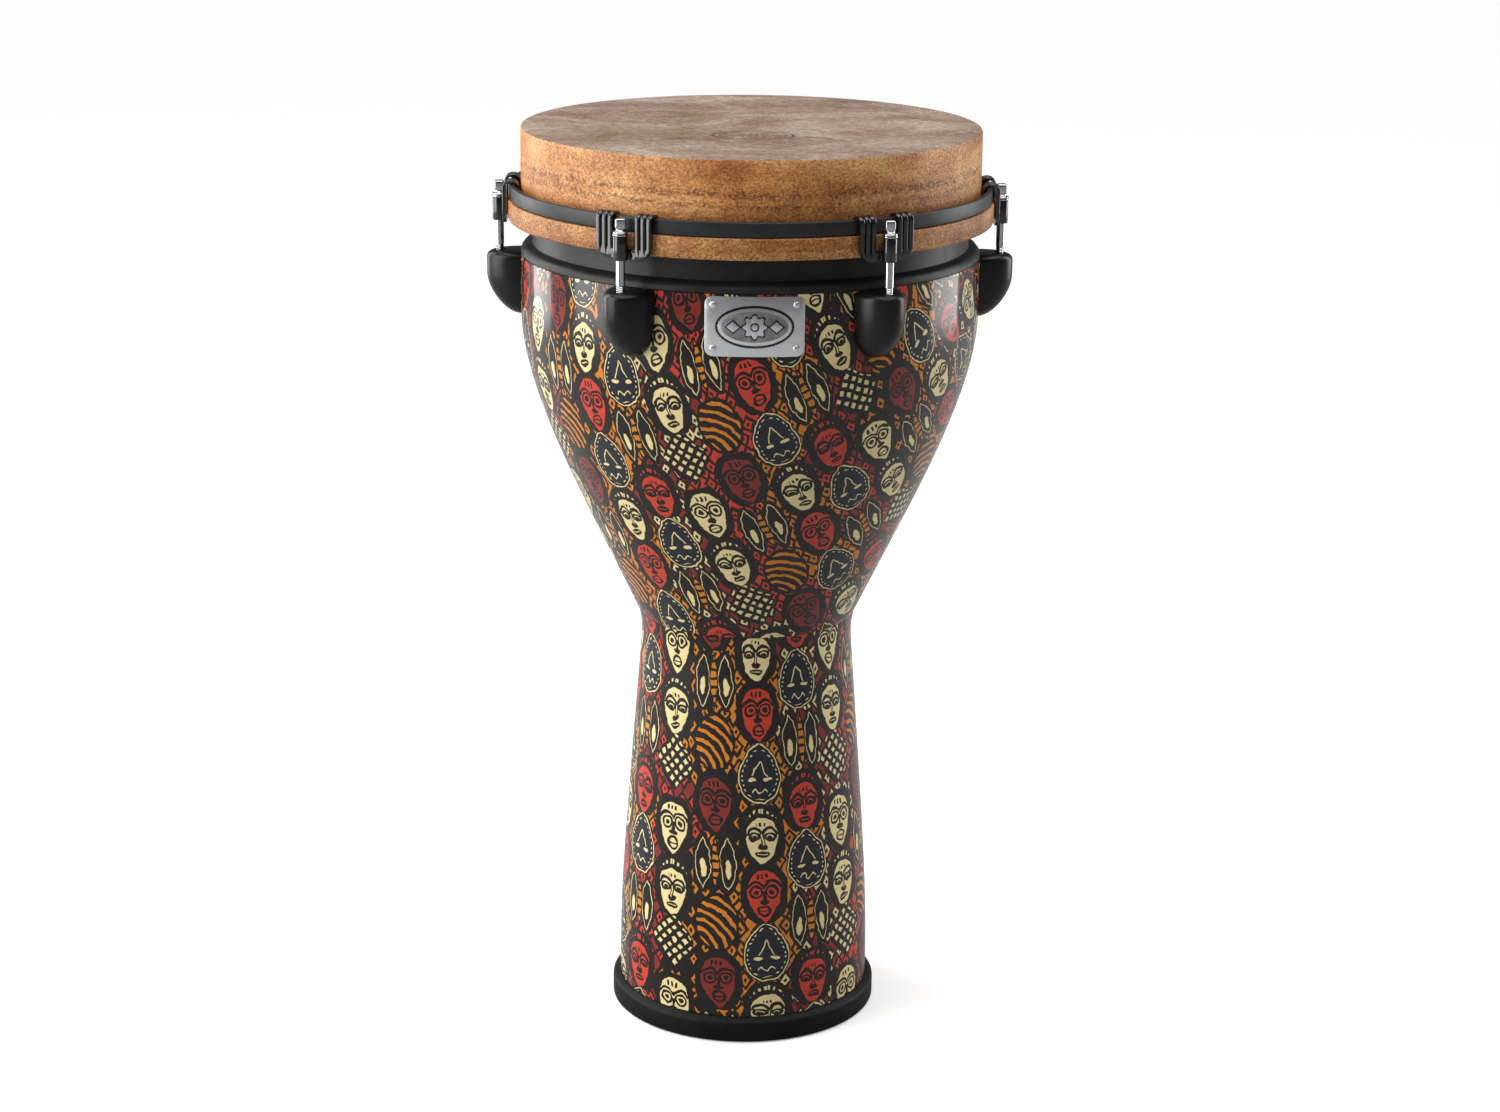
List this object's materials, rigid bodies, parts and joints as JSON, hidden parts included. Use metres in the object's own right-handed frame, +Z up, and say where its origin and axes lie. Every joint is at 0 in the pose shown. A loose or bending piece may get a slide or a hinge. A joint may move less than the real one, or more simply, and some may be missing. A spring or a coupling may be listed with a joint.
{
  "type": "djembe",
  "caption": "Goblet-shaped hand drum with a flat head, held by a counter-hoop, hooked claws and threaded tension rods screwed into lugs on the bowl.",
  "frame": {"origin": "middle of the foot ring, on the floor", "axes": "+Z up along the drum's axis to the playing surface; the badge faces -Y"},
  "size_m": [0.348, 0.3192, 0.612],
  "materials": {
    "shell": "pressed wood-fibre shell, painted matte black inside",
    "print": "printed skin under clear gloss: cream, red, ochre and navy motifs with black outlines",
    "collar_black": "satin black paint",
    "rubber": "smooth black rubber",
    "head_film": "skin-like film, mottled grey-brown on top, speckled tan on the wall",
    "hoop_film": "hoop covered in the same speckled tan film",
    "hoop_black": "satin dark grey powder coat",
    "claw_black": "gloss black enamel",
    "lug_black": "satin black powder coat",
    "chrome": "bright chrome",
    "zinc": "zinc plate",
    "satin_silver": "satin silver"
  },
  "bodies": {
    "shell": {"foot_shell": "shell", "bowl_shell": "shell", "foot_wrap": "print", "bowl_wrap": "print", "bearing_collar": "collar_black", "base_ring": "rubber", "drumhead": "head_film", "badge_plate": "satin_silver", "badge_rivet_1": "satin_silver", "badge_rivet_2": "satin_silver", "badge_rivet_3": "satin_silver", "badge_rivet_4": "satin_silver", "lug_casing_1": "lug_black", "lug_nut_1": "zinc", "lug_screw_1a": "zinc", "lug_screw_1b": "zinc", "lug_casing_2": "lug_black", "lug_nut_2": "zinc", "lug_screw_2a": "zinc", "lug_screw_2b": "zinc", "lug_casing_3": "lug_black", "lug_nut_3": "zinc", "lug_screw_3a": "zinc", "lug_screw_3b": "zinc", "lug_casing_4": "lug_black", "lug_nut_4": "zinc", "lug_screw_4a": "zinc", "lug_screw_4b": "zinc", "lug_casing_5": "lug_black", "lug_nut_5": "zinc", "lug_screw_5a": "zinc", "lug_screw_5b": "zinc", "lug_casing_6": "lug_black", "lug_nut_6": "zinc", "lug_screw_6a": "zinc", "lug_screw_6b": "zinc"},
    "tuning_hoop": {"flesh_hoop": "hoop_film", "counter_hoop": "hoop_black", "claw_1": "claw_black", "claw_2": "claw_black", "claw_3": "claw_black", "claw_4": "claw_black", "claw_5": "claw_black", "claw_6": "claw_black", "rod_washer_1": "chrome", "rod_washer_2": "chrome", "rod_washer_3": "chrome", "rod_washer_4": "chrome", "rod_washer_5": "chrome", "rod_washer_6": "chrome"},
    "rod_1": {"tension_rod_1": "chrome"},
    "rod_2": {"tension_rod_2": "chrome"},
    "rod_3": {"tension_rod_3": "chrome"},
    "rod_4": {"tension_rod_4": "chrome"},
    "rod_5": {"tension_rod_5": "chrome"},
    "rod_6": {"tension_rod_6": "chrome"}
  },
  "joints": [
    {"name": "hoop_draw", "type": "slide", "parent": "shell", "child": "tuning_hoop", "axis": [0, 0, -1], "range_m": [-0.003, 0.005]},
    {"name": "rod_1_turn", "type": "hinge", "parent": "tuning_hoop", "child": "rod_1", "pos_m": [0.08265, -0.14315, 0.5652], "axis": [0, 0, 1], "range_deg": [-1710, 1030]},
    {"name": "rod_2_turn", "type": "hinge", "parent": "tuning_hoop", "child": "rod_2", "pos_m": [0.1653, 0, 0.5652], "axis": [0, 0, 1], "range_deg": [-1710, 1030]},
    {"name": "rod_3_turn", "type": "hinge", "parent": "tuning_hoop", "child": "rod_3", "pos_m": [0.08265, 0.14315, 0.5652], "axis": [0, 0, 1], "range_deg": [-1710, 1030]},
    {"name": "rod_4_turn", "type": "hinge", "parent": "tuning_hoop", "child": "rod_4", "pos_m": [-0.08265, 0.14315, 0.5652], "axis": [0, 0, 1], "range_deg": [-1710, 1030]},
    {"name": "rod_5_turn", "type": "hinge", "parent": "tuning_hoop", "child": "rod_5", "pos_m": [-0.1653, 0, 0.5652], "axis": [0, 0, 1], "range_deg": [-1710, 1030]},
    {"name": "rod_6_turn", "type": "hinge", "parent": "tuning_hoop", "child": "rod_6", "pos_m": [-0.08265, -0.14315, 0.5652], "axis": [0, 0, 1], "range_deg": [-1710, 1030]}
  ],
  "couplings": [
    {"joint": "rod_1_turn", "follows": "hoop_draw", "rad_per_m": -5936.9},
    {"joint": "rod_2_turn", "follows": "hoop_draw", "rad_per_m": -5936.9},
    {"joint": "rod_3_turn", "follows": "hoop_draw", "rad_per_m": -5936.9},
    {"joint": "rod_4_turn", "follows": "hoop_draw", "rad_per_m": -5936.9},
    {"joint": "rod_5_turn", "follows": "hoop_draw", "rad_per_m": -5936.9},
    {"joint": "rod_6_turn", "follows": "hoop_draw", "rad_per_m": -5936.9}
  ]
}
